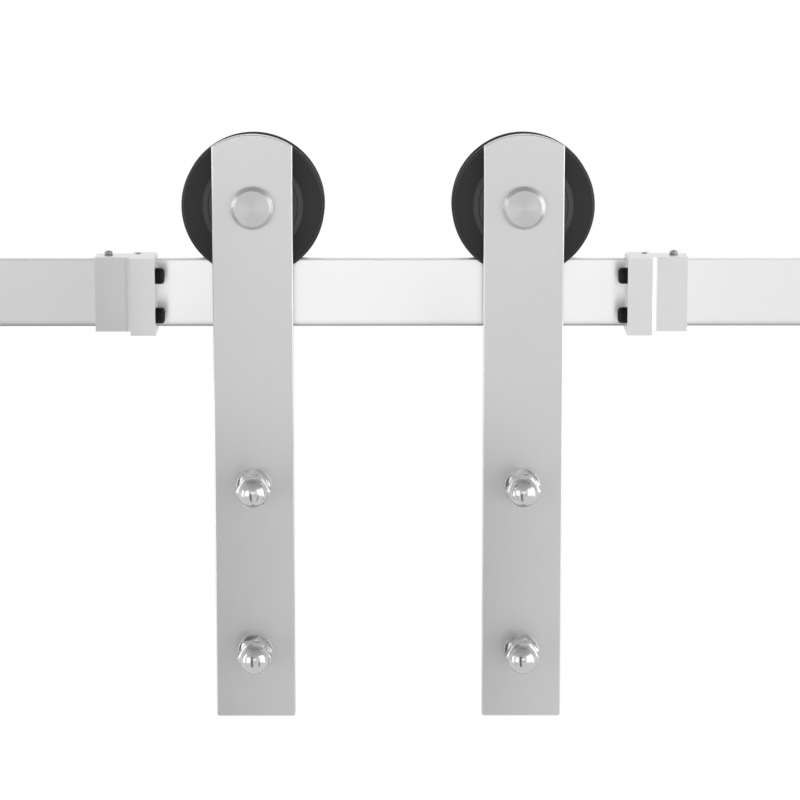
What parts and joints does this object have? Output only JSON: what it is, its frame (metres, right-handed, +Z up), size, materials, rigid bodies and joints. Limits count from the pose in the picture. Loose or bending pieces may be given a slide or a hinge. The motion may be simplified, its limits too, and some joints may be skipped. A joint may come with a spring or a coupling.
{
  "type": "sliding barn door hardware",
  "caption": "Flat-rail sliding door hardware: brushed strap hangers on grooved wheels, rail stops with rubber bumpers, wall spacers, door bolts with cap nuts.",
  "frame": {"origin": "where the middle fixing screw enters the wall, on the wall's surface", "axes": "+X along the rail to the right seen from the room, +Y into the wall, +Z up"},
  "size_m": [1.2192, 0.133, 0.3301],
  "materials": {
    "rail_steel": "fine lengthwise brushing",
    "strap_steel": "fine brushing along the strap",
    "stop_steel": "fine satin",
    "turned_steel": "turned, fine rings on the face",
    "polished_steel": "polished stainless steel",
    "fixing_steel": "plain stainless steel",
    "bearing_steel": "ground bearing steel",
    "pressed_steel": "pressed sheet steel",
    "spring_steel": "dark spring steel",
    "wheel_nylon": "turned black nylon",
    "bumper_rubber": "moulded black rubber",
    "insert_nylon": "white nylon"
  },
  "bodies": {
    "rail_assembly": {"rail": "rail_steel", "wall_spacers": "fixing_steel", "lag_screws": "fixing_steel", "lag_washers": "fixing_steel"},
    "left_hanger": {"left_hanger_strap": "strap_steel", "left_bearing_inner_ring": "bearing_steel", "left_axle_bolt": "turned_steel", "left_axle_front_spacer": "turned_steel", "left_axle_back_spacer": "turned_steel", "left_axle_washer": "polished_steel", "left_axle_locknut": "fixing_steel", "left_locknut_insert": "insert_nylon", "left_door_bolts": "polished_steel", "left_bolt_washers": "polished_steel", "left_plain_nuts": "polished_steel", "left_cap_nuts": "polished_steel"},
    "left_roller": {"left_wheel": "wheel_nylon", "left_bearing_outer_ring": "bearing_steel", "left_bearing_shields": "pressed_steel", "left_bearing_circlip": "spring_steel"},
    "left_ball_set": {"left_bearing_balls": "bearing_steel", "left_bearing_cage": "pressed_steel"},
    "left_stop": {"left_stop_body": "stop_steel", "left_stop_bumpers": "bumper_rubber", "left_stop_grub_screws": "spring_steel"},
    "right_hanger": {"right_hanger_strap": "strap_steel", "right_bearing_inner_ring": "bearing_steel", "right_axle_bolt": "turned_steel", "right_axle_front_spacer": "turned_steel", "right_axle_back_spacer": "turned_steel", "right_axle_washer": "polished_steel", "right_axle_locknut": "fixing_steel", "right_locknut_insert": "insert_nylon", "right_door_bolts": "polished_steel", "right_bolt_washers": "polished_steel", "right_plain_nuts": "polished_steel", "right_cap_nuts": "polished_steel"},
    "right_roller": {"right_wheel": "wheel_nylon", "right_bearing_outer_ring": "bearing_steel", "right_bearing_shields": "pressed_steel", "right_bearing_circlip": "spring_steel"},
    "right_ball_set": {"right_bearing_balls": "bearing_steel", "right_bearing_cage": "pressed_steel"},
    "right_stop": {"right_stop_body": "stop_steel", "right_stop_bumpers": "bumper_rubber", "right_stop_grub_screws": "spring_steel"}
  },
  "joints": [
    {"name": "left_hanger_slide", "type": "slide", "parent": "rail_assembly", "child": "left_hanger", "axis": [1, 0, 0], "range_m": [-0.0265, 0.035]},
    {"name": "left_wheel_spin", "type": "hinge", "parent": "left_hanger", "child": "left_roller", "pos_m": [0, -0.03818, 0.04925], "axis": [0, 1, 0], "range_deg": [-70, 70]},
    {"name": "left_ball_set_spin", "type": "hinge", "parent": "left_hanger", "child": "left_ball_set", "pos_m": [0, -0.03818, 0.04925], "axis": [0, 1, 0], "range_deg": [-50, 50]},
    {"name": "left_stop_slide", "type": "slide", "parent": "rail_assembly", "child": "left_stop", "axis": [1, 0, 0], "range_m": [-0.3, 0]},
    {"name": "right_hanger_slide", "type": "slide", "parent": "rail_assembly", "child": "right_hanger", "axis": [1, 0, 0], "range_m": [-0.035, 0.03]},
    {"name": "right_wheel_spin", "type": "hinge", "parent": "right_hanger", "child": "right_roller", "pos_m": [0.15, -0.03818, 0.04925], "axis": [0, 1, 0], "range_deg": [-70, 70]},
    {"name": "right_ball_set_spin", "type": "hinge", "parent": "right_hanger", "child": "right_ball_set", "pos_m": [0.15, -0.03818, 0.04925], "axis": [0, 1, 0], "range_deg": [-50, 50]},
    {"name": "right_stop_slide", "type": "slide", "parent": "rail_assembly", "child": "right_stop", "axis": [1, 0, 0], "range_m": [0, 0.15]}
  ],
  "couplings": [
    {"joint": "left_wheel_spin", "follows": "left_hanger_slide", "rad_per_m": 33.333},
    {"joint": "left_ball_set_spin", "follows": "left_hanger_slide", "rad_per_m": 21.25},
    {"joint": "right_wheel_spin", "follows": "right_hanger_slide", "rad_per_m": 33.333},
    {"joint": "right_ball_set_spin", "follows": "right_hanger_slide", "rad_per_m": 21.25}
  ]
}
